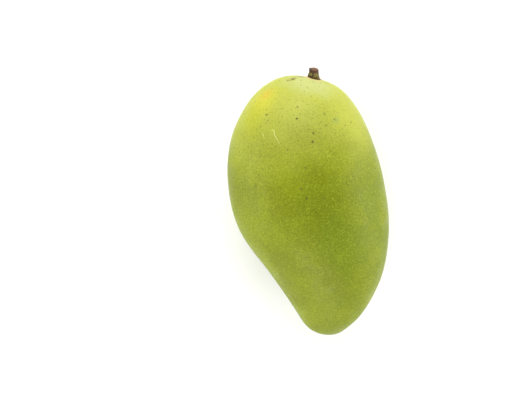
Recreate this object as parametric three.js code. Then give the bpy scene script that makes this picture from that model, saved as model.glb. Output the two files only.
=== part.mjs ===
// A whole green mango, picked with a short stub of its stalk, lying on one cheek.
//
// Millimetres, +Z up. +Y runs along the fruit from the beak to the stalk, +X points to its curved
// back and -X to the hollow side above the beak. Z = 0 is the surface that it lies on, and the
// origin is the middle of its footprint there.
//
// The fruit is a unit sphere whose points are moved outwards to a mango's outline and cheeks. The
// sphere's own pole is turned to where the stalk grows, so that the rings of the mesh run round
// the stalk's socket and collar.

import * as THREE from "three";
import { mergeVertices } from "three/addons/utils/BufferGeometryUtils.js";

// The fruit's overall size, before it is laid down
const LENGTH = 138;
const WIDTH = 84;
const THICKNESS = 70;

// Ten stations, evenly spaced in latitude from the beak to the shoulder. Breadth and depth are
// shares of a plain ellipsoid's, and middle is how far the outline's middle lies towards the back.
const BREADTH = [0.83, 0.73, 0.725, 0.815, 0.94, 0.98, 1.01, 1.05, 1.13, 1.2];
const DEPTH = [0.8, 0.77, 0.79, 0.87, 0.95, 1, 1.01, 1.01, 1.02, 1.05];
const MIDDLE = [11.5, 10.8, 11.8, 9.8, 3.3, -1, -3.6, -4.2, -4.5, -6];
const BACK_FULLNESS = 0.06; // share by which the cheeks are deeper towards the back

// Where the stalk grows: degrees of the sphere from the top of the shoulder towards the back
const STALK_FROM_TOP = THREE.MathUtils.degToRad(9.5);

// The shallow basin round the stalk, the corky collar in it, and the socket that holds the stub
const BASIN_RADIUS = 9;
const BASIN_DEPTH = 0.9;
const BASIN_REACH = 35; // no relief further than this below the stalk
const COLLAR_RADIUS = 3.9;
const COLLAR_WIDTH = 0.8;
const COLLAR_HEIGHT = 0.45;
const SOCKET_RADIUS = 3.3;
const SOCKET_DEPTH = 1.1;
const SOCKET_DRAFT = 0.12; // the wall widens by this much towards its mouth

// The stub: radii at its foot, just above the collar, at its waist and at the cut
const STUB_GAP = 0.3; // all round its foot
const STUB_FOOT_RADIUS = SOCKET_RADIUS - STUB_GAP;
const STUB_FLARE_RADIUS = 3.15;
const STUB_WAIST_RADIUS = 2.45;
const STUB_CUT_RADIUS = 2.3;
const STUB_HEIGHT = 5; // from the socket's mouth to the middle of the cut
const STUB_SWAY = 0.9; // it bends this far towards the hollow side as it rises
const CUT_SLANT = THREE.MathUtils.degToRad(12);
const RIDGES = 5; // low ribs along the stub
const RIDGE_SHARE = 0.05;

// How it lies: turned up at the stalk end until its weight is over the flat spot
const TILT = THREE.MathUtils.degToRad(3);
const FLAT_DEPTH = 0.4; // the cheek is pressed flat by this much where it rests

// Mesh steps
const SEGMENTS = 80;
const RINGS = 46;
const STUB_SEGMENTS = 20;
const WELD_DISTANCE = 1e-4;

// A smooth function of the latitude, 0 at the beak and 1 at the shoulder, through evenly spaced values.
function alongFruit(values) {
  const places = values.map((_, i) => i / (values.length - 1));
  const cubic = new THREE.CubicInterpolant(places, values, 1);
  cubic.settings = { endingStart: THREE.ZeroSlopeEnding, endingEnd: THREE.ZeroSlopeEnding };
  return (share) => cubic.evaluate(THREE.MathUtils.clamp(share, 0, 1))[0];
}

const breadthAt = alongFruit(BREADTH);
const depthAt = alongFruit(DEPTH);
const middleAt = alongFruit(MIDDLE);

// The point of the plain skin that a point of the unit sphere is moved to.
function skinPoint(d) {
  const share = Math.acos(THREE.MathUtils.clamp(-d.y, -1, 1)) / Math.PI;
  return new THREE.Vector3(
    middleAt(share) + breadthAt(share) * (WIDTH / 2) * d.x,
    (LENGTH / 2) * d.y,
    depthAt(share) * (THICKNESS / 2) * d.z * (1 + BACK_FULLNESS * d.x),
  );
}

// The unit sphere's point above the stalk.
const stalkDirection = new THREE.Vector3(
  Math.sin(STALK_FROM_TOP),
  Math.cos(STALK_FROM_TOP),
  0,
);

// Where the stalk grows: the skin's point and outward normal there, and how many millimetres of
// skin a radian of the sphere covers, towards the back and towards a cheek.
function stalkSeat() {
  const step = 0.02;
  const across = new THREE.Vector3(0, 0, 1).cross(stalkDirection).multiplyScalar(-step / 2);
  const upwards = new THREE.Vector3(0, 0, step / 2);
  const span = (half) =>
    skinPoint(stalkDirection.clone().add(half).normalize()).sub(
      skinPoint(stalkDirection.clone().sub(half).normalize()),
    );
  const toBack = span(across);
  return {
    point: skinPoint(stalkDirection),
    outward: new THREE.Vector3(-toBack.y, toBack.x, 0).normalize(),
    perRadian: toBack.length() / step,
    perRadianToCheek: span(upwards).length() / step,
  };
}

const seat = stalkSeat();

// How far the skin stands out along the stalk's line at a distance from it.
function reliefAt(radius) {
  const basin = -BASIN_DEPTH * Math.exp(-((radius / BASIN_RADIUS) ** 2));
  const collar =
    COLLAR_HEIGHT * Math.exp(-(((radius - COLLAR_RADIUS) / COLLAR_WIDTH) ** 2));
  const socket = radius < SOCKET_RADIUS ? -SOCKET_DEPTH : 0;
  return basin + collar + socket;
}

// The skin with the basin, collar and socket round the stalk.
function fruitPoint(d) {
  const point = skinPoint(d);
  const offset = point.clone().sub(seat.point);
  const height = offset.dot(seat.outward);
  if (height < -BASIN_REACH) return point;
  const radius = offset.addScaledVector(seat.outward, -height).length();
  return point.addScaledVector(seat.outward, reliefAt(radius));
}

// Angles of the mesh's rings from the stalk: close together at its socket and collar, then even.
function ringAngles() {
  const near = [
    SOCKET_RADIUS / 2,
    SOCKET_RADIUS - SOCKET_DRAFT / 2,
    SOCKET_RADIUS + SOCKET_DRAFT / 2,
    COLLAR_RADIUS,
    COLLAR_RADIUS + COLLAR_WIDTH,
    COLLAR_RADIUS + 2.5 * COLLAR_WIDTH,
  ].map((radius) => radius / seat.perRadian);
  const last = near[near.length - 1];
  const even = Array.from(
    { length: RINGS },
    (_, i) => last + ((Math.PI - last) * (i + 1)) / RINGS,
  );
  return [0, ...near, ...even];
}

// Turns a lathe's open seam and poles into one closed surface.
function closed(geometry) {
  geometry.deleteAttribute("normal");
  geometry.deleteAttribute("uv");
  const merged = mergeVertices(geometry, WELD_DISTANCE);
  merged.computeVertexNormals();
  return merged;
}

// Moves each vertex of a geometry by a function of its place.
function reshaped(geometry, move) {
  const place = geometry.getAttribute("position");
  const vertex = new THREE.Vector3();
  for (let i = 0; i < place.count; i++) {
    vertex.fromBufferAttribute(place, i);
    place.setXYZ(i, ...move(vertex).toArray());
  }
  return geometry;
}

// Turns a point of the upright fruit to how it lies.
const lying = new THREE.Quaternion().setFromAxisAngle(new THREE.Vector3(1, 0, 0), TILT);

function makeFruit() {
  const profile = ringAngles()
    .reverse()
    .map((a) => new THREE.Vector2(Math.sin(a), Math.cos(a)));
  profile[0].x = 0;
  profile[profile.length - 1].x = 0;
  const toStalk = new THREE.Quaternion().setFromUnitVectors(
    new THREE.Vector3(0, 1, 0),
    stalkDirection,
  );
  // Stretched before it is turned, so that the rings round the stalk come out as circles
  const stretch = seat.perRadian / seat.perRadianToCheek;
  const sphere = new THREE.LatheGeometry(profile, SEGMENTS).scale(1, 1, stretch);
  const geometry = reshaped(closed(sphere), (vertex) =>
    fruitPoint(vertex.normalize().applyQuaternion(toStalk)).applyQuaternion(lying),
  );
  geometry.computeBoundingBox();
  const floor = geometry.boundingBox.min.z + FLAT_DEPTH;
  reshaped(geometry, (vertex) => vertex.setZ(Math.max(vertex.z, floor)));
  geometry.computeVertexNormals();
  const skin = new THREE.MeshStandardMaterial({
    color: 0xa3ad37,
    roughness: 0.48,
    metalness: 0,
  });
  const fruit = new THREE.Mesh(geometry, skin);
  fruit.name = "fruit";
  return { fruit, floor };
}

// The stub's lathe profile from its foot to the cut, with heights over the socket's mouth.
function stubProfile() {
  const foot = STUB_GAP - SOCKET_DEPTH;
  return [
    [0, foot],
    [STUB_FOOT_RADIUS, foot],
    [STUB_FOOT_RADIUS, 0],
    [STUB_FLARE_RADIUS, STUB_HEIGHT * 0.12],
    [STUB_FLARE_RADIUS * 0.94, STUB_HEIGHT * 0.25],
    [STUB_WAIST_RADIUS * 1.05, STUB_HEIGHT * 0.45],
    [STUB_WAIST_RADIUS, STUB_HEIGHT * 0.65],
    [STUB_WAIST_RADIUS * 1.01, STUB_HEIGHT * 0.85],
    [STUB_CUT_RADIUS, STUB_HEIGHT * 0.96],
    [STUB_CUT_RADIUS * 0.86, STUB_HEIGHT],
    [0, STUB_HEIGHT * 1.02],
  ].map(([radius, height]) => new THREE.Vector2(radius, height));
}

function makeStub() {
  // Ribs fade out at the foot, the stub bends as it rises, and the cut slants
  const geometry = reshaped(
    closed(new THREE.LatheGeometry(stubProfile(), STUB_SEGMENTS)),
    (vertex) => {
      const rise = THREE.MathUtils.clamp(vertex.y / STUB_HEIGHT, 0, 1);
      const round = Math.atan2(vertex.z, vertex.x);
      const rib = 1 + RIDGE_SHARE * rise * Math.cos(RIDGES * round);
      const slant = rise ** 3 * Math.tan(CUT_SLANT) * vertex.z;
      const sway = STUB_SWAY * rise ** 2;
      return vertex.set(vertex.x * rib - sway, vertex.y - slant, vertex.z * rib);
    },
  );
  geometry.computeVertexNormals();
  const bark = new THREE.MeshStandardMaterial({
    color: 0x5b4526,
    roughness: 0.85,
    metalness: 0,
  });
  const stub = new THREE.Mesh(geometry, bark);
  stub.name = "stalk_stub";
  const mouth = seat.point.clone().addScaledVector(seat.outward, reliefAt(SOCKET_RADIUS));
  stub.position.copy(mouth.applyQuaternion(lying));
  stub.quaternion
    .setFromUnitVectors(new THREE.Vector3(0, 1, 0), seat.outward)
    .premultiply(lying);
  return stub;
}

const { fruit, floor } = makeFruit();
const stub = makeStub();
const mango = new THREE.Group();
mango.name = "mango";
mango.add(fruit, stub);

// The origin goes to the middle of the footprint, on the surface below
const extent = new THREE.Box3().setFromObject(mango, true);
const middle = extent.getCenter(new THREE.Vector3());
mango.children.forEach((piece) =>
  piece.position.sub(new THREE.Vector3(middle.x, middle.y, floor)),
);

export default mango;
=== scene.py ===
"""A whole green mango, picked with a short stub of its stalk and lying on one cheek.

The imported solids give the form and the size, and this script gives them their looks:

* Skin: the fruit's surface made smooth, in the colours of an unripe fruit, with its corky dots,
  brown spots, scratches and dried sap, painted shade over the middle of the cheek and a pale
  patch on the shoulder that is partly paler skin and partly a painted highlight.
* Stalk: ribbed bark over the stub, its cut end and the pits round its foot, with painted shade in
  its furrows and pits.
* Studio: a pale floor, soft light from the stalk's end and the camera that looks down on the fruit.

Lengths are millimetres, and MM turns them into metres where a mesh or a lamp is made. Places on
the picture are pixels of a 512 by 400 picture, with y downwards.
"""

import logging
import math
from dataclasses import dataclass, field
from enum import Enum

import bmesh
import bpy
from mathutils import Matrix, Vector, noise
from mathutils.bvhtree import BVHTree


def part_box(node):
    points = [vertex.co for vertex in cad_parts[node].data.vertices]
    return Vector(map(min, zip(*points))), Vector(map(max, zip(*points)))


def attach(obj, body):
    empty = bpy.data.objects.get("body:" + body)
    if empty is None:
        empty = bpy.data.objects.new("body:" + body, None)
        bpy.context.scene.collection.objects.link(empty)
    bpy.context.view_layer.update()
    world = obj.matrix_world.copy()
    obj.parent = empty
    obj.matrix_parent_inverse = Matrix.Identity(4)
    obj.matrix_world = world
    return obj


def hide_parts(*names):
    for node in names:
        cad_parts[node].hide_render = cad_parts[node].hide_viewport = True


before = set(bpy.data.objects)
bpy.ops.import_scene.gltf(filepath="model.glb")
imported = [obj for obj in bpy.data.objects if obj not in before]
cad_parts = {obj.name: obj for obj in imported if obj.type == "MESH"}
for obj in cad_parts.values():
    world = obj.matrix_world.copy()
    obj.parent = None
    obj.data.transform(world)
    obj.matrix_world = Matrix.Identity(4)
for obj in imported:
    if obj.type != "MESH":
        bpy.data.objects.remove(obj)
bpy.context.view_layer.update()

MM = 0.001
IOR = 1.45  # wax, cork, wood and paper are all close to this
WELD_MM = 0.001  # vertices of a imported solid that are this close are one
AXIS_MM = 1e-6  # a vertex this close to the stub's line has no way outwards
QUAD_DEG = 40  # two triangles that meet flatter than this become a quad
LOG = logging.getLogger("mango")

# Kinds of node that are used often, with their settings. A Mix node of colours takes its share at
# input 0 and its two colours at 6 and 7, and gives the result at output 2.
MIX = "ShaderNodeMix"
COLOURS = {"data_type": "RGBA"}
RANGE = "ShaderNodeMapRange"
SMOOTH = {"interpolation_type": "SMOOTHSTEP"}
MATH = "ShaderNodeMath"
VECTOR = "ShaderNodeVectorMath"
NOISE = "ShaderNodeTexNoise"


def linear(code: int) -> tuple[float, float, float, float]:
    """Turns an sRGB hex colour to linear light.

    Args:
        code: The colour, such as 0x8FA02D.

    Returns:
        Red, green, blue and an alpha of 1.
    """
    shares = [((code >> shift) & 0xFF) / 255 for shift in (16, 8, 0)]
    red, green, blue = (
        s / 12.92 if s <= 0.04045 else ((s + 0.055) / 1.055) ** 2.4 for s in shares
    )
    return red, green, blue, 1.0


def add_node(
    tree: bpy.types.NodeTree, kind: str, inputs: dict | None = None, **settings: object
) -> bpy.types.Node:
    """Adds a node with its settings, and sets or links its inputs.

    Args:
        tree: The tree that gets the node.
        kind: The node's type.
        inputs: Values, or sockets to link from, by the input's name or number.
        settings: Attributes of the node.

    Returns:
        The node.
    """
    node = tree.nodes.new(kind)
    for name, value in settings.items():
        setattr(node, name, value)
    for key, value in (inputs or {}).items():
        if isinstance(value, bpy.types.NodeSocket):
            tree.links.new(value, node.inputs[key])
        else:
            node.inputs[key].default_value = value
    return node


@dataclass(frozen=True)
class Ramp:
    """A rise or fall from low to high, while another value goes from start to end."""

    start: float
    end: float
    low: float = 0.0
    high: float = 1.0

    def over(self, value: bpy.types.NodeSocket) -> dict[int, object]:
        """Gives the inputs with which a Map Range node follows the ramp."""
        return dict(enumerate((value, self.start, self.end, self.low, self.high)))

    def at(self, value: float) -> float:
        """Gives the ramp's height at a value, in a straight line from start to end."""
        share = (value - self.start) / (self.end - self.start)
        return self.low + (self.high - self.low) * min(1.0, max(0.0, share))


@dataclass(frozen=True)
class Grain:
    """Noise with a grain of a real size, its finer layers and how strong these are."""

    size_mm: float
    layers: float = 2.0
    layer_strength: float = 0.55

    def over(self, place: bpy.types.NodeSocket) -> dict[str, object]:
        """Gives the inputs with which a Noise Texture node draws the grain."""
        return {
            "Vector": place,
            "Scale": 1 / self.size_mm,
            "Detail": self.layers,
            "Roughness": self.layer_strength,
        }


def laid_over(
    tree: bpy.types.NodeTree,
    below: bpy.types.NodeSocket | tuple[float, float, float, float],
    above: bpy.types.NodeSocket | tuple[float, float, float, float],
    ramp: Ramp,
    value: bpy.types.NodeSocket,
) -> bpy.types.NodeSocket:
    """Lays one colour over another, as strongly as a ramp over a value says.

    Args:
        tree: The material's tree.
        below: The lower colour.
        above: The upper colour.
        ramp: How much of the upper colour shows.
        value: What the ramp goes by.

    Returns:
        The colour of both.
    """
    share = add_node(tree, RANGE, ramp.over(value), **SMOOTH).outputs[0]
    return add_node(tree, MIX, {0: share, 6: below, 7: above}, **COLOURS).outputs[2]


def new_material(
    name: str,
) -> tuple[bpy.types.Material, bpy.types.NodeTree, bpy.types.NodeSocket]:
    """Starts a material.

    Args:
        name: What the material is.

    Returns:
        The material, its tree, and the place on the piece in millimetres of its own frame.
    """
    material = bpy.data.materials.new(name)
    material.use_nodes = True
    tree = material.node_tree
    tree.nodes.clear()
    place = add_node(tree, "ShaderNodeTexCoord").outputs["Object"]
    scaled = add_node(tree, VECTOR, {0: place, "Scale": 1 / MM}, operation="SCALE")
    return material, tree, scaled.outputs[0]


def close_material(
    tree: bpy.types.NodeTree,
    colour: bpy.types.NodeSocket,
    roughness: bpy.types.NodeSocket,
    relief: bpy.types.NodeSocket,
    relief_mm: float,
    constants: dict[str, object] | None = None,
) -> None:
    """Ends a material with its surface.

    Args:
        tree: The material's tree.
        colour: The base colour.
        roughness: The roughness.
        relief: The height of the fine relief, from 0 to 1.
        relief_mm: How high the fine relief is.
        constants: Further inputs of the surface, which are the same all over.
    """
    inputs = {"Height": relief, "Distance": relief_mm * MM, "Strength": 1.0}
    bump = add_node(tree, "ShaderNodeBump", inputs).outputs[0]
    inputs = {"Base Color": colour, "Roughness": roughness, "Normal": bump, "IOR": IOR}
    surface = add_node(tree, "ShaderNodeBsdfPrincipled", {**inputs, **(constants or {})})
    add_node(tree, "ShaderNodeOutputMaterial", {"Surface": surface.outputs[0]})


def finished_piece(
    name: str, mesh: bpy.types.Mesh, replaced: str | None = None
) -> bpy.types.Object:
    """Puts a mesh in the scene as a piece of the object.

    Args:
        name: The piece's name.
        mesh: Its mesh, with its place in its vertices.
        replaced: The node that it stands for, if it stands for one.

    Returns:
        The piece.
    """
    mesh.name = name
    piece = bpy.data.objects.new(name, mesh)
    bpy.context.scene.collection.objects.link(piece)
    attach(piece, "root")
    if replaced:
        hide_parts(replaced)
    return piece


def evaluated_mesh(
    mesh: bpy.types.Mesh, kind: str, values: dict[str, object]
) -> bpy.types.Mesh:
    """Runs one modifier on a mesh.

    Args:
        mesh: The mesh that it starts from.
        kind: The modifier's type.
        values: Its settings. A key that starts with Socket is an input of its node tree.

    Returns:
        A new plain mesh.
    """
    carrier = bpy.data.objects.new("carrier", mesh)
    bpy.context.scene.collection.objects.link(carrier)
    modifier = carrier.modifiers.new(kind.title(), kind)
    for key, value in values.items():
        if key.startswith("Socket"):
            modifier[key] = value
        else:
            setattr(modifier, key, value)
    depsgraph = bpy.context.evaluated_depsgraph_get()
    result = bpy.data.meshes.new_from_object(carrier.evaluated_get(depsgraph))
    bpy.data.objects.remove(carrier)
    return result


def smooth_copy(node: str, levels: int) -> bpy.types.Mesh:
    """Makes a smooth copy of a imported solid's surface.

    Args:
        node: The solid's name.
        levels: How often its faces are divided.

    Returns:
        A closed mesh of quads that follows the solid.
    """
    shape = bmesh.new()
    shape.from_mesh(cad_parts[node].data)
    bmesh.ops.remove_doubles(shape, verts=shape.verts, dist=WELD_MM * MM)
    flattest = math.radians(QUAD_DEG)
    bmesh.ops.join_triangles(
        shape,
        faces=shape.faces,
        angle_face_threshold=flattest,
        angle_shape_threshold=flattest,
    )
    merged = bpy.data.meshes.new(node + "_merged")
    shape.to_mesh(merged)
    shape.free()
    values = {"levels": levels, "render_levels": levels, "use_limit_surface": True}
    smooth = evaluated_mesh(merged, "SUBSURF", values)
    smooth.materials.clear()
    smooth.shade_smooth()
    bpy.data.meshes.remove(merged)
    return smooth


class Tone(Enum):
    """The colour of a spot, from green as a pore to brown as old cork."""

    GREEN = 0.1
    OLIVE = 0.5
    BROWN = 1.0


@dataclass(frozen=True)
class Spot:
    """A spot on the skin, where the camera sees it on the picture."""

    across: float
    down: float
    width_mm: float
    tone: Tone


@dataclass(frozen=True)
class Patch:
    """A soft-edged ellipse of another colour on the skin, centred where the camera sees it."""

    across: float
    down: float
    size_mm: tuple[float, float, float]
    turn_deg: float
    colour: int
    strength: float
    ragged_mm: float
    softness: float = 0.8


@dataclass
class Camera:
    """The camera: a long lens that looks down on the fruit, from a little towards its stalk."""

    lens_mm: float = 100.0
    sensor_mm: float = 36.0
    picture_px: tuple[int, int] = (512, 400)
    target_mm: tuple[float, float, float] = (-27.0, 1.0, 29.8)
    distance_mm: float = 738.0
    tip_deg: float = 10.5
    turn: Matrix = field(init=False)
    place: Vector = field(init=False)

    def __post_init__(self) -> None:
        """Works out where the camera is and how it is turned."""
        self.turn = Matrix.Rotation(-math.radians(self.tip_deg), 3, "X")
        self.place = Vector(self.target_mm) + self.turn @ Vector((0, 0, self.distance_mm))

    def build(self) -> None:
        """Makes the camera and gives it to the scene."""
        data = bpy.data.cameras.new("camera")
        data.lens = self.lens_mm
        data.sensor_width = self.sensor_mm
        camera = bpy.data.objects.new("camera", data)
        camera.matrix_world = Matrix.Translation(self.place * MM) @ self.turn.to_4x4()
        bpy.context.scene.collection.objects.link(camera)
        bpy.context.scene.camera = camera

    def ray(self, across: float, down: float) -> Vector:
        """Gives the direction in which the camera sees a point of the picture.

        Args:
            across: Pixels from the picture's left edge.
            down: Pixels from its top edge.

        Returns:
            A unit vector.
        """
        width, height = self.picture_px
        pixel = self.sensor_mm / width
        seen = Vector(((across - width / 2) * pixel, (height / 2 - down) * pixel, -self.lens_mm))
        return (self.turn @ seen).normalized()


class Surface:
    """Finds places on the finished skin, in millimetres."""

    def __init__(self, mesh: bpy.types.Mesh, camera: Camera) -> None:
        """Takes in the skin.

        Args:
            mesh: The skin's mesh, in metres.
            camera: The camera through which places are seen.
        """
        points = [vertex.co / MM for vertex in mesh.vertices]
        faces = [tuple(face.vertices) for face in mesh.polygons]
        self.tree = BVHTree.FromPolygons(points, faces)
        self.camera = camera

    def seen_at(self, across: float, down: float) -> Vector:
        """Finds the point of the skin that shows at a point of the picture.

        Args:
            across: Pixels from the picture's left edge.
            down: Pixels from its top edge.

        Returns:
            The point.

        Raises:
            ValueError: If the skin doesn't show there.
        """
        hit, *_ = self.tree.ray_cast(self.camera.place, self.camera.ray(across, down))
        if hit is None:
            raise ValueError(f"the skin doesn't show at pixel {across}, {down}")
        return hit

    def nearest(self, point: Vector) -> tuple[Vector, Vector]:
        """Finds the skin's nearest point and its outward normal."""
        found, normal, *_ = self.tree.find_nearest(point)
        return found, normal

    def raised(self, point: Vector, height_mm: float) -> Vector:
        """Gives the point at a height above the skin's nearest point."""
        found, normal = self.nearest(point)
        return found + normal * height_mm


@dataclass(frozen=True)
class WaxySkin:
    """Skin of an unripe mango: waxy and satin, speckled with pores.

    The wax gives broad soft highlights and pale rims. Under it the green is broken into cells
    and darker pores, olive on the cheek, bluish towards the curved back and yellower where the
    fruit ripens first, round the stalk.
    """

    olive: int = 0x727B08
    green: int = 0x7C870B
    bluish: int = 0x728418
    shoulder: int = 0xA9AC44
    pale_cell: int = 0xA2AC30
    dark_cell: int = 0x5C6A06
    halo: int = 0x4A5A10
    pore_shade: int = 0xB8C08C
    gleam: int = 0xF2F6DC
    # Broad colours: the clouds make the borders between them wander
    blotches: Grain = Grain(17.0, 3.0)
    clouds: Grain = Grain(37.4)
    wander_mm: float = 60.0
    olive_to_green: Ramp = Ramp(0.36, 0.64)
    bluish_along_mm: Ramp = Ramp(0.0, 34.0)
    bluish_blotches: Ramp = Ramp(0.6, 0.4, 0.0, 0.42)
    shoulder_along_mm: Ramp = Ramp(4.0, 66.0, 0.0, 0.95)
    torn_edge: float = 2.5
    # Real cells and pores are finer than the picture can show, so both are drawn coarser
    cells: Grain = Grain(0.85, 3.0)
    pale_cells: Ramp = Ramp(0.5, 0.7, 0.0, 0.38)
    dark_cells: Ramp = Ramp(0.5, 0.32, 0.0, 0.52)
    pore_spacing_mm: float = 1.4
    pore_edge: Ramp = Ramp(0.26, 0.14)
    pore_strength: Ramp = Ramp(0.4, 1.0, 0.06, 0.9)
    shoulder_calm: float = 0.6
    halo_core: float = 0.3
    halo_strength: float = 0.35
    # The wax: a little smoother and rougher in patches, with hardly any relief
    wax: Grain = Grain(6.0, 3.0)
    roughness: Ramp = Ramp(0.3, 0.7, 0.4, 0.54)
    cell_height: float = 0.7
    pore_depth: float = 0.35
    relief_mm: float = 0.05
    reflection: float = 0.2
    sheen: float = 0.1
    sheen_roughness: float = 0.25

    def make(
        self, patches: list[tuple[Patch, Vector]], halos: list[tuple[Vector, float]]
    ) -> bpy.types.Material:
        """Makes the material.

        Args:
            patches: Each coloured patch with its centre on the skin.
            halos: Places of the larger spots and how wide the skin is darker round them.

        Returns:
            The material.
        """
        material, tree, place = new_material("waxy mango skin")
        colour, shoulder = self._ground(tree, place)
        for patch, centre in patches:
            colour = self._patch(tree, place, colour, patch, centre)
        cells = add_node(tree, NOISE, self.cells.over(place)).outputs[0]
        inputs = {0: shoulder, 1: -self.shoulder_calm, 2: 1.0}
        calm = add_node(tree, MATH, inputs, operation="MULTIPLY_ADD").outputs[0]
        inputs = {0: self._pores(tree, place), 1: calm}
        pores = add_node(tree, MATH, inputs, operation="MULTIPLY").outputs[0]
        colour = laid_over(tree, colour, linear(self.pale_cell), self.pale_cells, cells)
        dark = add_node(tree, RANGE, self.dark_cells.over(cells), **SMOOTH).outputs[0]
        shade = add_node(tree, MATH, {0: dark, 1: calm}, operation="MULTIPLY").outputs[0]
        inputs = {0: shade, 6: colour, 7: linear(self.dark_cell)}
        colour = add_node(tree, MIX, inputs, **COLOURS).outputs[2]
        inputs = {0: pores, 6: colour, 7: linear(self.pore_shade)}
        colour = add_node(tree, MIX, inputs, blend_type="MULTIPLY", **COLOURS).outputs[2]
        for centre, width_mm in halos:
            inputs = {0: place, 1: centre}
            away = add_node(tree, VECTOR, inputs, operation="DISTANCE").outputs["Value"]
            fade = Ramp(width_mm, self.halo_core * width_mm, 0.0, self.halo_strength)
            colour = laid_over(tree, colour, linear(self.halo), fade, away)
        inputs = {0: cells, 1: self.cell_height}
        raised = add_node(tree, MATH, inputs, operation="MULTIPLY").outputs[0]
        inputs = {0: pores, 1: -self.pore_depth, 2: raised}
        relief = add_node(tree, MATH, inputs, operation="MULTIPLY_ADD").outputs[0]
        wax = add_node(tree, NOISE, self.wax.over(place)).outputs[0]
        rough = add_node(tree, RANGE, self.roughness.over(wax), **SMOOTH).outputs[0]
        constants = {
            "Specular IOR Level": self.reflection,
            "Sheen Weight": self.sheen,
            "Sheen Roughness": self.sheen_roughness,
            "Sheen Tint": linear(self.gleam),
        }
        close_material(tree, colour, rough, relief, self.relief_mm, constants)
        return material

    def _ground(
        self, tree: bpy.types.NodeTree, place: bpy.types.NodeSocket
    ) -> tuple[bpy.types.NodeSocket, bpy.types.NodeSocket]:
        """Lays the broad colours: blotches, the bluish back and the paler shoulder.

        Args:
            tree: The material's tree.
            place: The place in millimetres.

        Returns:
            The colour, and the share of the shoulder's colour in it.
        """
        blotch = add_node(tree, NOISE, self.blotches.over(place)).outputs[0]
        clouds = add_node(tree, NOISE, self.clouds.over(place)).outputs[0]
        parts = add_node(tree, "ShaderNodeSeparateXYZ", {0: place}).outputs
        inputs = {0: clouds, 1: self.wander_mm, 2: -self.wander_mm / 2}
        wander = add_node(tree, MATH, inputs, operation="MULTIPLY_ADD").outputs[0]
        along = add_node(tree, MATH, {0: parts["Y"], 1: wander}, operation="ADD").outputs[0]
        sideways = add_node(tree, MATH, {0: parts["X"], 1: wander}, operation="ADD").outputs[0]
        olive, green = linear(self.olive), linear(self.green)
        colour = laid_over(tree, olive, green, self.olive_to_green, blotch)
        back = add_node(tree, RANGE, self.bluish_along_mm.over(sideways), **SMOOTH).outputs[0]
        broken = add_node(tree, RANGE, self.bluish_blotches.over(blotch), **SMOOTH).outputs[0]
        share = add_node(tree, MATH, {0: back, 1: broken}, operation="MULTIPLY").outputs[0]
        inputs = {0: share, 6: colour, 7: linear(self.bluish)}
        colour = add_node(tree, MIX, inputs, **COLOURS).outputs[2]
        share = add_node(tree, RANGE, self.shoulder_along_mm.over(along), **SMOOTH).outputs[0]
        inputs = {0: share, 6: colour, 7: linear(self.shoulder)}
        return add_node(tree, MIX, inputs, **COLOURS).outputs[2], share

    def _patch(
        self,
        tree: bpy.types.NodeTree,
        place: bpy.types.NodeSocket,
        colour: bpy.types.NodeSocket,
        patch: Patch,
        centre: Vector,
    ) -> bpy.types.NodeSocket:
        """Lays one coloured patch with a broken edge over the skin.

        Args:
            tree: The material's tree.
            place: The place in millimetres.
            colour: The colour so far.
            patch: The patch.
            centre: Its centre on the skin.

        Returns:
            The colour with the patch.
        """
        edge = Grain(self.torn_edge * patch.ragged_mm, 3.0, 0.5)
        broken = add_node(tree, NOISE, edge.over(place)).outputs["Color"]
        inputs = {0: broken, 1: [2 * patch.ragged_mm] * 3, 2: [-patch.ragged_mm] * 3}
        shift = add_node(tree, VECTOR, inputs, operation="MULTIPLY_ADD").outputs[0]
        moved = add_node(tree, VECTOR, {0: place, 1: shift}, operation="ADD").outputs[0]
        inputs = {
            "Vector": moved,
            "Location": centre,
            "Rotation": (0, 0, math.radians(patch.turn_deg)),
            "Scale": patch.size_mm,
        }
        mapped = add_node(tree, "ShaderNodeMapping", inputs, vector_type="TEXTURE").outputs[0]
        away = add_node(tree, VECTOR, {0: mapped}, operation="LENGTH").outputs["Value"]
        fade = Ramp(1.0, 1.0 - patch.softness, 0.0, patch.strength)
        return laid_over(tree, colour, linear(patch.colour), fade, away)

    def _pores(
        self, tree: bpy.types.NodeTree, place: bpy.types.NodeSocket
    ) -> bpy.types.NodeSocket:
        """Scatters the fine dark pores, some stronger than others.

        Args:
            tree: The material's tree.
            place: The place in millimetres.

        Returns:
            Close to 1 in a strong pore, 0 between the pores.
        """
        inputs = {"Vector": place, "Scale": 1 / self.pore_spacing_mm}
        spread = add_node(tree, "ShaderNodeTexVoronoi", inputs).outputs
        edge = self.pore_edge.over(spread["Distance"])
        inside = add_node(tree, RANGE, edge, **SMOOTH).outputs[0]
        chance = add_node(tree, "ShaderNodeSeparateXYZ", {0: spread["Color"]}).outputs["X"]
        strength = add_node(tree, RANGE, self.pore_strength.over(chance), **SMOOTH).outputs[0]
        return add_node(tree, MATH, {0: inside, 1: strength}, operation="MULTIPLY").outputs[0]


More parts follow.
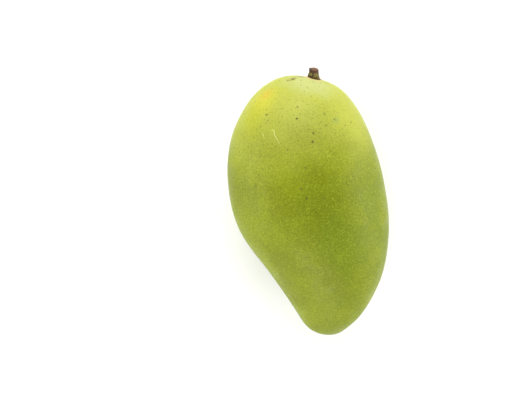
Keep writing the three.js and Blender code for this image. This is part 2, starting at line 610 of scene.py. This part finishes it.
@dataclass(frozen=True)
class Cork:
    """Cork of lenticels: dull, dry and slightly raised, green when young and brown when old.

    Real crumbs of cork are finer and are drawn coarser to show.
    """

    young: int = 0x76831F
    between: int = 0x5F6D17
    old: int = 0x51420C
    dry: int = 0x7C6626
    crumbs: Grain = Grain(0.35)
    between_to_young: Ramp = Ramp(0.35, 0.65)
    dry_crumbs: Ramp = Ramp(0.55, 0.75, 0.0, 0.4)
    roughness: Ramp = Ramp(0.3, 0.7, 0.62, 0.82)
    relief_mm: float = 0.04

    def make(self) -> bpy.types.Material:
        """Makes the material, which reads each dot's age from its tone attribute.

        Returns:
            The material.
        """
        material, tree, place = new_material("lenticel cork")
        tone = add_node(tree, "ShaderNodeAttribute", attribute_name="tone").outputs["Fac"]
        crumbs = add_node(tree, NOISE, self.crumbs.over(place)).outputs[0]
        between, young = linear(self.between), linear(self.young)
        fresh = laid_over(tree, between, young, self.between_to_young, crumbs)
        inputs = {0: tone, 6: fresh, 7: linear(self.old)}
        colour = add_node(tree, MIX, inputs, **COLOURS).outputs[2]
        colour = laid_over(tree, colour, linear(self.dry), self.dry_crumbs, crumbs)
        rough = add_node(tree, RANGE, self.roughness.over(crumbs), **SMOOTH).outputs[0]
        close_material(tree, colour, rough, crumbs, self.relief_mm)
        return material


@dataclass(frozen=True)
class DryScar:
    """Dried skin along a scratch: pale, papery and rough."""

    pale: int = 0xD3D786
    tan: int = 0xBDB95C
    flakes: Grain = Grain(0.5, 3.0)
    pale_to_tan: Ramp = Ramp(0.45, 0.7)
    roughness: Ramp = Ramp(0.3, 0.7, 0.65, 0.85)
    relief_mm: float = 0.05

    def make(self) -> bpy.types.Material:
        """Makes the material.

        Returns:
            The material.
        """
        material, tree, place = new_material("dried scratch")
        flakes = add_node(tree, NOISE, self.flakes.over(place)).outputs[0]
        pale, tan = linear(self.pale), linear(self.tan)
        colour = laid_over(tree, pale, tan, self.pale_to_tan, flakes)
        rough = add_node(tree, RANGE, self.roughness.over(flakes), **SMOOTH).outputs[0]
        close_material(tree, colour, rough, flakes, self.relief_mm)
        return material


@dataclass(frozen=True)
class StalkBark:
    """Bark of a cut mango stalk: dull and ribbed, olive at the waist and dark at both ends.

    The cap under the cut has dried brown with red flecks, and the cut end to a reddish, fibrous
    middle. Real fibres are finer and are drawn coarser to show. The furrows and the pits round the
    foot are painted darker, as shade.
    """

    waist: int = 0x706A2C
    # The darkest colour: dark mottles in the bark, and painted shade in its furrows and pits
    mottle_and_furrow_shade: int = 0x35240C
    foot: int = 0x5C4715
    top: int = 0x4C2F1E
    cut: int = 0x5C3826
    fibre: int = 0x7C523C
    # Heights along the stub are shares, from 0 at the socket's mouth to 1 at the cut
    mottles: Grain = Grain(0.7, 3.0)
    wander: float = 0.5
    foot_to_waist: Ramp = Ramp(0.1, 0.38)
    waist_to_top: Ramp = Ramp(0.36, 0.56)
    fibres: Grain = Grain(0.4)
    red_flecks: Ramp = Ramp(0.5, 0.68, 0.0, 0.6)
    dark_mottles: Ramp = Ramp(0.5, 0.68, 0.0, 0.65)
    # Painted shade: the deeper a furrow or pit, the darker the bark is painted there
    painted_furrow_shade: Ramp = Ramp(0.35, 0.9)
    cut_fibres: Ramp = Ramp(0.45, 0.65)
    roughness: Ramp = Ramp(0.3, 0.7, 0.68, 0.92)
    relief_mm: float = 0.08

    def make(self) -> bpy.types.Material:
        """Makes the material, which reads the mesh's height, hollow and cut attributes.

        Returns:
            The material.
        """
        material, tree, place = new_material("stalk bark")
        height, hollow, cut = (
            add_node(tree, "ShaderNodeAttribute", attribute_name=name).outputs["Fac"]
            for name in ("height", "hollow", "cut")
        )
        mottles = add_node(tree, NOISE, self.mottles.over(place)).outputs[0]
        fibres = add_node(tree, NOISE, self.fibres.over(place)).outputs[0]
        inputs = {0: mottles, 1: self.wander, 2: -self.wander / 2}
        wander = add_node(tree, MATH, inputs, operation="MULTIPLY_ADD").outputs[0]
        level = add_node(tree, MATH, {0: height, 1: wander}, operation="ADD").outputs[0]
        fibre = linear(self.fibre)
        cap = laid_over(tree, linear(self.top), fibre, self.red_flecks, fibres)
        end = laid_over(tree, linear(self.cut), fibre, self.cut_fibres, fibres)
        colour = linear(self.foot)
        layers = (
            (self.foot_to_waist, level, linear(self.waist)),
            (self.waist_to_top, level, cap),
            (self.dark_mottles, mottles, linear(self.mottle_and_furrow_shade)),
            # Painted shade in the furrows and the pits round the foot
            (self.painted_furrow_shade, hollow, linear(self.mottle_and_furrow_shade)),
        )
        for ramp, value, above in layers:
            colour = laid_over(tree, colour, above, ramp, value)
        colour = add_node(tree, MIX, {0: cut, 6: colour, 7: end}, **COLOURS).outputs[2]
        rough = add_node(tree, RANGE, self.roughness.over(mottles), **SMOOTH).outputs[0]
        close_material(tree, colour, rough, fibres, self.relief_mm)
        return material


@dataclass(frozen=True)
class PaleBoard:
    """Matte white board under the fruit: no gloss, so it only carries the soft shadow.

    The tooth of real board is finer and is drawn coarser.
    """

    white: int = 0xF7F7F6
    shade: int = 0xF6F6F5
    tooth: Grain = Grain(0.4)
    white_to_shade: Ramp = Ramp(0.4, 0.6)
    roughness: Ramp = Ramp(0.3, 0.7, 0.86, 0.94)
    relief_mm: float = 0.002

    def make(self) -> bpy.types.Material:
        """Makes the material.

        Returns:
            The material.
        """
        material, tree, place = new_material("matte white board")
        tooth = add_node(tree, NOISE, self.tooth.over(place)).outputs[0]
        white, shade = linear(self.white), linear(self.shade)
        colour = laid_over(tree, white, shade, self.white_to_shade, tooth)
        rough = add_node(tree, RANGE, self.roughness.over(tooth), **SMOOTH).outputs[0]
        close_material(tree, colour, rough, tooth, self.relief_mm)
        return material


@dataclass
class Skin:
    """The fruit: its smooth surface with corky dots, spots, scratches and dried sap."""

    camera: Camera
    smooth_levels: int = 2
    # Shallow dents, with finer ones in them, which stay clear of the spot that it rests on
    dent_mm: float = 0.35
    dent_size_mm: float = 26.0
    fine_dent: float = 0.12
    fine_dent_size: float = 0.3
    lifted_mm: Ramp = Ramp(0.0, 1.5)
    # Small corky dots. The densest are near the stalk, and there are none where the fruit rests
    seed: int = 7
    dot_density_cm2: float = 4.5
    dot_spacing_mm: float = 1.6
    dot_widths_mm: tuple[float, float] = (0.25, 0.55)
    dot_height_mm: float = 0.06
    dot_faces: tuple[int, int] = (8, 4)
    dots_along_mm: Ramp = Ramp(-40.0, 50.0, 0.25)
    dots_clear_mm: Ramp = Ramp(2.0, 3.0)
    oldest_dot: float = 0.6
    # Spots: rings at shares of the spot's radius, with their heights over the skin
    spot_sides: int = 10
    spot_rings: tuple[tuple[float, float], ...] = ((0.85, -0.03), (0.68, 0.04), (0.4, 0.07))
    spot_ragged: float = 0.25
    spot_waves: float = 2.0
    halo_from_mm: float = 0.8
    halo_width: float = 1.1
    # Scratches: offsets as shares of the half width, with their heights over the skin
    scratch_steps: int = 8
    scratch_width_mm: float = 0.32
    scratch_profile: tuple[tuple[float, float], ...] = (
        (-1.0, -0.04),
        (-0.4, 0.056),
        (0.4, 0.056),
        (1.0, -0.04),
    )
    scratch_uneven: float = 0.5
    scratch_wander_mm: float = 0.25
    scratch_waves_per_mm: tuple[float, float] = (1.7, 0.9)
    # The corky collar's patch is centred on the stalk's foot, and not on a pixel
    collar: Patch = Patch(0.0, 0.0, (6.3, 6.3, 6.3), 0.0, 0xC8B27E, 0.85, 0.5, 0.4)
    spots: tuple[Spot, ...] = (
        Spot(312.5, 141.9, 1.2, Tone.BROWN),
        Spot(313.4, 133.2, 1.0, Tone.BROWN),
        Spot(296.9, 118.6, 1.1, Tone.BROWN),
        Spot(266.5, 114.8, 0.9, Tone.BROWN),
        Spot(260.2, 126.4, 0.7, Tone.BROWN),
        Spot(345.2, 125.2, 0.7, Tone.BROWN),
        Spot(350.8, 122.9, 0.7, Tone.BROWN),
        Spot(255.9, 186.0, 0.9, Tone.BROWN),
        Spot(258.6, 174.6, 0.8, Tone.OLIVE),
        Spot(300.9, 188.7, 0.9, Tone.OLIVE),
        Spot(306.6, 198.3, 1.0, Tone.BROWN),
        Spot(323.5, 198.8, 0.8, Tone.OLIVE),
        Spot(305.8, 168.1, 0.8, Tone.GREEN),
        Spot(375.2, 168.2, 0.8, Tone.OLIVE),
        Spot(297.5, 106.9, 0.8, Tone.OLIVE),
        Spot(324.6, 113.7, 0.8, Tone.GREEN),
        Spot(334.5, 119.1, 0.9, Tone.GREEN),
        Spot(326.1, 125.3, 0.8, Tone.GREEN),
        Spot(341.3, 129.0, 0.7, Tone.GREEN),
        Spot(335.6, 132.9, 0.7, Tone.GREEN),
        Spot(266.6, 109.8, 0.6, Tone.GREEN),
        Spot(255.4, 101.4, 0.6, Tone.BROWN),
        Spot(278.1, 92.3, 0.6, Tone.OLIVE),
        Spot(301.2, 80.4, 0.7, Tone.OLIVE),
        Spot(290.3, 283.8, 1.1, Tone.OLIVE),
        Spot(295.0, 142.1, 0.7, Tone.GREEN),
        Spot(277.4, 84.5, 0.5, Tone.OLIVE),
        Spot(284.7, 98.3, 0.5, Tone.OLIVE),
        Spot(289.2, 99.7, 0.6, Tone.OLIVE),
        Spot(281.6, 108.3, 0.6, Tone.OLIVE),
        Spot(291.5, 109.4, 0.5, Tone.GREEN),
        Spot(293.5, 115.3, 0.6, Tone.OLIVE),
        Spot(300.3, 114.1, 0.6, Tone.OLIVE),
        Spot(316.6, 116.1, 0.5, Tone.GREEN),
        Spot(320.6, 122.3, 0.6, Tone.OLIVE),
        Spot(278.5, 122.3, 0.6, Tone.GREEN),
        Spot(287.7, 149.6, 0.8, Tone.OLIVE),
        Spot(267.8, 139.5, 0.6, Tone.OLIVE),
        Spot(309.5, 129.3, 0.6, Tone.OLIVE),
        Spot(331.3, 137.5, 0.6, Tone.GREEN),
        Spot(259.8, 151.1, 0.7, Tone.OLIVE),
        Spot(270.9, 165.3, 0.7, Tone.OLIVE),
        Spot(296.5, 100.8, 0.5, Tone.GREEN),
        Spot(302.3, 100.6, 0.5, Tone.OLIVE),
    )
    scratches: tuple[tuple[tuple[float, float], ...], ...] = (
        ((271, 130.6), (272.7, 129.9), (274.6, 131.6), (274.3, 134.6), (276.6, 138.2), (280.3, 145.2)),
        ((263, 133.2), (263.4, 135.6), (264.4, 137.5)),
    )
    patches: tuple[Patch, ...] = (
        Patch(262.0, 102.0, (13, 9, 14), 50, 0xBAB330, 0.6, 3.0),
        Patch(266.5, 95.0, (6, 2.6, 7), 40, 0xC49A30, 0.4, 1.6),
        Patch(252.0, 119.0, (9, 14, 12), 0, 0xA0A41C, 0.5, 4.0),
        # Partly paler skin and partly a painted highlight: a pale ellipse on the top of the shoulder
        Patch(308.0, 84.0, (20, 9, 14), -16, 0xB0B679, 0.66, 3.0),
        # Painted shade: a darker olive ellipse over the middle of the cheek
        Patch(322.0, 212.0, (24, 36, 26), 10, 0x606C04, 0.6, 5.0, 1.0),
        Patch(336.0, 121.0, (3.2, 2.6, 6), 30, 0x86984C, 0.55, 1.2),
        Patch(342.0, 248.0, (17, 28, 20), 14, 0x607816, 0.36, 5.0),
        Patch(293.2, 78.9, (3.6, 0.9, 3), 24, 0x6A5E20, 0.9, 0.6),
        Patch(288.0, 80.5, (1.3, 0.7, 2), 20, 0x80742E, 0.8, 0.5),
        Patch(301.0, 76.6, (4.4, 0.9, 3), -4, 0x86744A, 0.7, 0.5),
    )

    def build(self) -> list[bpy.types.Object]:
        """Makes the skin and everything on it.

        Returns:
            The pieces.
        """
        mesh = smooth_copy("fruit", self.smooth_levels)
        self._dent(mesh)
        surface = Surface(mesh, self.camera)
        mesh.materials.append(self._skin_material(surface))
        cork = Cork().make()
        return [
            finished_piece("mango_skin", mesh, "fruit"),
            finished_piece("corky_dots", self._dots(mesh, cork)),
            finished_piece("brown_spots", self._spots(surface, cork)),
            finished_piece("dry_scratches", self._scratches(surface)),
        ]

    def _dent(self, mesh: bpy.types.Mesh) -> None:
        """Presses shallow dents into the skin, so that the cheeks aren't perfectly even.

        Args:
            mesh: The skin's mesh. The spot that it rests on stays where it is.
        """
        # Read first, because a moved vertex makes all normals be worked out again
        normals = [vertex.normal.copy() for vertex in mesh.vertices]
        fine_size_mm = self.fine_dent_size * self.dent_size_mm
        for vertex, normal in zip(mesh.vertices, normals):
            point = vertex.co / MM
            broad = noise.noise(point / self.dent_size_mm, noise_basis="PERLIN_ORIGINAL")
            fine = noise.noise(point / fine_size_mm, noise_basis="PERLIN_ORIGINAL")
            depth = self.dent_mm * ((1 + broad) / 2 + self.fine_dent * fine)
            vertex.co -= normal * depth * self.lifted_mm.at(point.z) * MM
            vertex.co.z = max(vertex.co.z, 0.0)

    def _skin_material(self, surface: Surface) -> bpy.types.Material:
        """Makes the skin's material with its patches and the shade round its larger spots.

        Args:
            surface: The skin.

        Returns:
            The material.
        """
        placed = [(patch, surface.seen_at(patch.across, patch.down)) for patch in self.patches]
        stub_low, stub_high = (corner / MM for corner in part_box("stalk_stub"))
        foot, _ = surface.nearest((stub_low + stub_high) / 2)
        placed.append((self.collar, foot))
        large = [spot for spot in self.spots if spot.width_mm >= self.halo_from_mm]
        halos = [
            (surface.seen_at(spot.across, spot.down), self.halo_width * spot.width_mm)
            for spot in large
        ]
        return WaxySkin().make(placed, halos)

    def _dots(self, mesh: bpy.types.Mesh, cork: bpy.types.Material) -> bpy.types.Mesh:
        """Scatters small corky dots over the skin, closer together towards the stalk.

        Args:
            mesh: The skin's mesh.
            cork: The dots' material.

        Returns:
            The dots' mesh.
        """
        tree = bpy.data.node_groups.new("corky dots", "GeometryNodeTree")
        low, high = self.dot_widths_mm
        sizes = {
            "Spacing": self.dot_spacing_mm * MM,
            "Density": self.dot_density_cm2 * 1e4,  # a square metre holds 1e4 square centimetres
            "Smallest": low / 2 * MM,
            "Largest": high / 2 * MM,
            "Height": self.dot_height_mm * MM,
        }
        tree.interface.new_socket("Geometry", in_out="INPUT", socket_type="NodeSocketGeometry")
        tree.interface.new_socket("Geometry", in_out="OUTPUT", socket_type="NodeSocketGeometry")
        types = {name: "NodeSocketFloat" for name in sizes}
        types |= {"Seed": "NodeSocketInt", "Cork": "NodeSocketMaterial"}
        named = {
            name: tree.interface.new_socket(name, in_out="INPUT", socket_type=kind)
            for name, kind in types.items()
        }
        given = add_node(tree, "NodeGroupInput").outputs
        place = add_node(tree, "GeometryNodeInputPosition").outputs[0]
        inputs = {0: place, "Scale": 1 / MM}
        place_mm = add_node(tree, VECTOR, inputs, operation="SCALE").outputs[0]
        parts = add_node(tree, "ShaderNodeSeparateXYZ", {0: place_mm}).outputs
        clear = add_node(tree, RANGE, self.dots_clear_mm.over(parts["Z"])).outputs[0]
        dense = add_node(tree, RANGE, self.dots_along_mm.over(parts["Y"])).outputs[0]
        share = add_node(tree, MATH, {0: dense, 1: clear}, operation="MULTIPLY").outputs[0]
        inputs = {
            "Mesh": given["Geometry"],
            "Distance Min": given["Spacing"],
            "Density Max": given["Density"],
            "Density Factor": share,
            "Seed": given["Seed"],
        }
        scattered = add_node(
            tree, "GeometryNodeDistributePointsOnFaces", inputs, distribute_method="POISSON"
        ).outputs
        # Most dots are small: the random share is squared
        inputs = {"Seed": given["Seed"]}
        chance = add_node(tree, "FunctionNodeRandomValue", inputs, data_type="FLOAT").outputs[1]
        squared = add_node(tree, MATH, {0: chance, 1: 2.0}, operation="POWER").outputs[0]
        inputs = {"Value": squared, "To Min": given["Smallest"], "To Max": given["Largest"]}
        radius = add_node(tree, RANGE, inputs).outputs[0]
        inputs = {0: radius, 1: radius, 2: given["Height"]}
        scale = add_node(tree, "ShaderNodeCombineXYZ", inputs).outputs[0]
        segments, rings = self.dot_faces
        inputs = {"Segments": segments, "Rings": rings, "Radius": 1.0}
        dome = add_node(tree, "GeometryNodeMeshUVSphere", inputs).outputs["Mesh"]
        inputs = {
            "Points": scattered["Points"],
            "Instance": dome,
            "Rotation": scattered["Rotation"],
            "Scale": scale,
        }
        placed = add_node(tree, "GeometryNodeInstanceOnPoints", inputs).outputs[0]
        # A random number's least and greatest value are inputs 2 and 3
        inputs = {2: 0.0, 3: self.oldest_dot, "Seed": self.seed + 1}
        age = add_node(tree, "FunctionNodeRandomValue", inputs, data_type="FLOAT").outputs[1]
        inputs = {"Geometry": placed, "Name": "tone", "Value": age}
        toned = add_node(
            tree, "GeometryNodeStoreNamedAttribute", inputs, data_type="FLOAT", domain="INSTANCE"
        ).outputs[0]
        solid = add_node(tree, "GeometryNodeRealizeInstances", {0: toned}).outputs[0]
        smooth = add_node(tree, "GeometryNodeSetShadeSmooth", {0: solid}).outputs[0]
        inputs = {"Geometry": smooth, "Material": given["Cork"]}
        dressed = add_node(tree, "GeometryNodeSetMaterial", inputs).outputs[0]
        add_node(tree, "NodeGroupOutput", {0: dressed})
        filled = {**sizes, "Seed": self.seed, "Cork": cork}
        values = {named[name].identifier: value for name, value in filled.items()}
        return evaluated_mesh(mesh, "NODES", {"node_group": tree, **values})

    def _spots(self, surface: Surface, cork: bpy.types.Material) -> bpy.types.Mesh:
        """Makes the spots that stand out, each a low ragged dome that follows the skin.

        Args:
            surface: The skin.
            cork: The spots' material.

        Returns:
            The spots' mesh.
        """
        shape = bmesh.new()
        tone = shape.verts.layers.float.new("tone")
        for spot in self.spots:
            centre, normal = surface.nearest(surface.seen_at(spot.across, spot.down))
            side = normal.orthogonal().normalized()
            rings = []
            for share, height_mm in self.spot_rings:
                ring = []
                for i in range(self.spot_sides):
                    turned = Matrix.Rotation(math.tau * i / self.spot_sides, 3, normal) @ side
                    ragged = 1 + self.spot_ragged * noise.noise(centre + self.spot_waves * turned)
                    point = centre + turned * (share * ragged * spot.width_mm / 2)
                    ring.append(shape.verts.new(surface.raised(point, height_mm) * MM))
                rings.append(ring)
            _, top_mm = self.spot_rings[-1]
            top = shape.verts.new((centre + normal * top_mm) * MM)
            for i in range(self.spot_sides):
                j = (i + 1) % self.spot_sides
                for outer, inner in zip(rings, rings[1:]):
                    shape.faces.new((outer[i], outer[j], inner[j], inner[i]))
                shape.faces.new((rings[-1][i], rings[-1][j], top))
            shape.faces.new(reversed(rings[0]))
            for vertex in (*(corner for ring in rings for corner in ring), top):
                vertex[tone] = spot.tone.value
        mesh = bpy.data.meshes.new("spots")
        shape.to_mesh(mesh)
        shape.free()
        mesh.shade_smooth()
        mesh.materials.append(cork)
        return mesh

    def _scratches(self, surface: Surface) -> bpy.types.Mesh:
        """Makes the scratches, each a thin dry ridge that follows the skin.

        Args:
            surface: The skin.

        Returns:
            The scratches' mesh.
        """
        shape = bmesh.new()
        steps = self.scratch_steps
        width_waves, wander_waves = self.scratch_waves_per_mm
        apart = Vector((9, 0, 0))  # the wander's noise is read this far from the width's
        for path in self.scratches:
            knots = [surface.seen_at(*point) for point in path]
            line = [
                a.lerp(b, i / steps) for a, b in zip(knots, knots[1:]) for i in range(steps)
            ] + [knots[-1]]
            rows = []
            for i, point in enumerate(line):
                found, normal = surface.nearest(point)
                ahead = line[min(i + 1, len(line) - 1)] - line[max(i - 1, 0)]
                across = normal.cross(ahead).normalized()
                taper = math.sin(math.pi * (i + 0.5) / len(line)) ** 0.5
                uneven = 1 + self.scratch_uneven * noise.noise(found * width_waves)
                half = across * (self.scratch_width_mm / 2 * taper * uneven)
                wander = noise.noise(found * wander_waves + apart)
                middle = found + across * (self.scratch_wander_mm * wander)
                rows.append(
                    [
                        shape.verts.new(surface.raised(middle + half * share, height_mm) * MM)
                        for share, height_mm in self.scratch_profile
                    ]
                )
            corners = len(self.scratch_profile)
            for near, far in zip(rows, rows[1:]):
                for i in range(corners):
                    j = (i + 1) % corners
                    shape.faces.new((near[i], near[j], far[j], far[i]))
            shape.faces.new(reversed(rows[0]))
            shape.faces.new(rows[-1])
        bmesh.ops.recalc_face_normals(shape, faces=shape.faces)
        mesh = bpy.data.meshes.new("scratches")
        shape.to_mesh(mesh)
        shape.free()
        mesh.shade_smooth()
        mesh.materials.append(DryScar().make())
        return mesh


@dataclass
class Stalk:
    """The stub of the stalk: ribbed bark, pits round its foot and a nearly level cut end."""

    smooth_levels: int = 3
    socket_depth_mm: float = 0.8
    # How steeply a face of the solid's flat foot looks down
    sole_slope: float = -0.9
    # Ribs run along the stub, so their noise changes slowly that way. Each finer layer of it is
    # half the size and half as strong
    rib_mm: float = 0.12
    rib_size_mm: float = 0.8
    rib_stretch: float = 0.35
    rib_layers: int = 3
    rib_fading: float = 1.0
    rib_narrowing: float = 2.0
    furrow_depth: float = 2.2
    # The foot flares over the socket, with a ring of pits in it
    flare_mm: float = 0.15
    flare_height_mm: float = 0.6
    pits: int = 9
    pit_depth_mm: float = 0.3
    pit_size_mm: float = 0.4
    pit_level_mm: float = 0.7
    pit_wander_mm: float = 0.15
    pit_waves: int = 3
    pit_least_radius_mm: float = 1.0
    # The cut: where the stub's end counts as cut, its raised rim and its growth rings
    cut_above_mm: float = 2.0
    cut_slope: Ramp = Ramp(0.6, 0.85)
    cut_radius_mm: float = 2.3
    cut_drop_mm: float = 0.1
    cut_colour_mm: Ramp = Ramp(2.1, 1.6)
    rim_mm: float = 0.25
    ring_mm: float = 0.04
    ring_waves: float = 9.0
    # The stub stands a little nearer the hollow side than the solid, and its cut is more level
    shift_mm: float = 0.6
    bend_mm: Ramp = Ramp(0.0, 0.35)
    lean_mm: float = 0.1
    level_share: float = 0.36
    trim_mm: float = 0.3

    def build(self) -> bpy.types.Object:
        """Makes the stalk.

        Returns:
            The piece.
        """
        mesh = smooth_copy("stalk_stub", self.smooth_levels)
        self._carve(mesh)
        mesh.materials.append(StalkBark().make())
        return finished_piece("stalk", mesh, "stalk_stub")

    def _line(self) -> tuple[Vector, Vector]:
        """Finds the stub's line from its flat foot.

        Returns:
            The middle of the foot in millimetres, and the unit vector along the stub.
        """
        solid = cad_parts["stalk_stub"].data
        sole = [face for face in solid.polygons if face.normal.y < self.sole_slope]
        along = -sum((face.normal for face in sole), Vector()).normalized()
        centres = [face.center / MM for face in sole]
        return sum(centres, Vector()) / len(centres), along

    def _carve(self, mesh: bpy.types.Mesh) -> None:
        """Gives the smooth stub its bark, foot and cut, and notes what the colours need.

        Args:
            mesh: The stub's mesh.
        """
        foot, along = self._line()
        side = along.orthogonal().normalized()
        other = along.cross(side)
        tall = max((v.co / MM - foot).dot(along) for v in mesh.vertices)
        layers = {
            name: mesh.attributes.new(name, "FLOAT", "POINT").data
            for name in ("height", "hollow", "cut")
        }
        # Read first, because a moved vertex makes all normals be worked out again
        normals = [vertex.normal.copy() for vertex in mesh.vertices]
        for i, (vertex, normal) in enumerate(zip(mesh.vertices, normals)):
            offset = vertex.co / MM - foot
            height = offset.dot(along)
            outward = offset - along * height
            radius = outward.length
            angle = math.atan2(outward.dot(other), outward.dot(side))
            above = height - self.socket_depth_mm
            cut = self.cut_slope.at(normal.dot(along)) if above > self.cut_above_mm else 0.0
            drawn = (outward + along * (self.rib_stretch * height)) / self.rib_size_mm
            rib = noise.fractal(drawn, self.rib_fading, self.rib_narrowing, self.rib_layers)
            flare = self.flare_mm * math.exp(-((above / self.flare_height_mm) ** 2))
            level = self.pit_level_mm + self.pit_wander_mm * math.sin(self.pit_waves * angle)
            turn = (angle * self.pits / math.tau) % 1 - 0.5
            apart = turn * math.tau / self.pits * max(radius, self.pit_least_radius_mm)
            pit = math.exp(-((apart**2 + (above - level) ** 2) / self.pit_size_mm**2))
            rings = self.ring_mm * math.sin(self.ring_waves * radius)
            pushed = self.rib_mm * rib * (1 - cut) + flare - self.pit_depth_mm * pit
            rise = Ramp(0.0, tall).at(above)
            aside = self.shift_mm * self.bend_mm.at(above) + self.lean_mm * rise**2
            vertex.co.x -= aside * MM
            if radius > AXIS_MM:
                vertex.co += outward / radius * (pushed * (1 - cut)) * MM
            levelled = self.level_share * rise**3 * outward.x
            dished = self.rim_mm * (1 - (radius / self.cut_radius_mm) ** 2)
            end = cut * (rings - dished - self.cut_drop_mm)
            vertex.co += along * (levelled - self.trim_mm * rise + end) * MM
            # How deep the vertex lies in a furrow or pit, where the bark is painted darker as shade
            hollow = pit + max(0.0, -self.furrow_depth * rib)
            layers["height"][i].value = above / (tall - self.socket_depth_mm)
            layers["hollow"][i].value = min(1.0, max(0.0, hollow))
            layers["cut"][i].value = cut * self.cut_colour_mm.at(radius)


@dataclass(frozen=True)
class SoftBox:
    """A soft lamp that faces the fruit."""

    name: str
    place_mm: tuple[float, float, float]
    size_mm: tuple[float, float]
    watts: float
    colour: int = 0xFFFFFF
    aim_mm: tuple[float, float, float] = (0, 0, 30)

    def build(self) -> None:
        """Makes the lamp."""
        data = bpy.data.lights.new(self.name, "AREA")
        data.shape = "RECTANGLE"
        data.size = self.size_mm[0] * MM
        data.size_y = self.size_mm[1] * MM
        data.energy = self.watts
        data.color = linear(self.colour)[:3]
        lamp = bpy.data.objects.new(self.name, data)
        lamp.location = Vector(self.place_mm) * MM
        facing = Vector(self.aim_mm) * MM - lamp.location
        lamp.rotation_euler = facing.to_track_quat("-Z", "Y").to_euler()
        bpy.context.scene.collection.objects.link(lamp)


@dataclass
class Studio:
    """The pale floor, the soft lamps and the light of the white room."""

    floor_mm: float = 8000.0
    floor_squares: int = 4
    walls_to_ceiling: Ramp = Ramp(0.0, 0.9, 1.4, 0.5)
    white: int = 0xFFFFFF
    lamps: tuple[SoftBox, ...] = (
        SoftBox("key", (-80, 1000, 700), (900, 600), 11.2),
        SoftBox("fill", (-150, -1000, 550), (800, 400), 5.6),
        SoftBox("back", (1000, -100, 320), (900, 500), 5.6),
        SoftBox("hollow", (-1000, -250, 320), (900, 500), 4.4),
    )

    def build(self) -> None:
        """Makes the floor, the lamps and the room's light."""
        shape = bmesh.new()
        squares = {"x_segments": self.floor_squares, "y_segments": self.floor_squares}
        bmesh.ops.create_grid(shape, size=self.floor_mm / 2 * MM, **squares)
        mesh = bpy.data.meshes.new("floor")
        shape.to_mesh(mesh)
        shape.free()
        mesh.materials.append(PaleBoard().make())
        floor = bpy.data.objects.new("floor", mesh)
        bpy.context.scene.collection.objects.link(floor)
        for lamp in self.lamps:
            lamp.build()
        self._room()
        bpy.context.scene.view_settings.view_transform = "Standard"

    def _room(self) -> None:
        """Lights the room: bright walls all round and a darker ceiling."""
        world = bpy.data.worlds.new("white room")
        world.use_nodes = True
        tree = world.node_tree
        tree.nodes.clear()
        way = add_node(tree, "ShaderNodeTexCoord").outputs["Generated"]
        up = add_node(tree, "ShaderNodeSeparateXYZ", {0: way}).outputs["Z"]
        strength = add_node(tree, RANGE, self.walls_to_ceiling.over(up), **SMOOTH).outputs[0]
        inputs = {"Color": linear(self.white), "Strength": strength}
        light = add_node(tree, "ShaderNodeBackground", inputs).outputs[0]
        add_node(tree, "ShaderNodeOutputWorld", {"Surface": light})
        bpy.context.scene.world = world


def main() -> None:
    """Builds the camera, the fruit, its stalk and the studio, and reports each piece."""
    logging.basicConfig(level=logging.INFO, format="%(name)s %(message)s")
    camera = Camera()
    camera.build()
    pieces = [*Skin(camera).build(), Stalk().build()]
    Studio().build()
    for piece in pieces:
        piece.data.calc_loop_triangles()
        LOG.info("%s: %d triangles", piece.name, len(piece.data.loop_triangles))


if __name__ == "__main__":
    main()
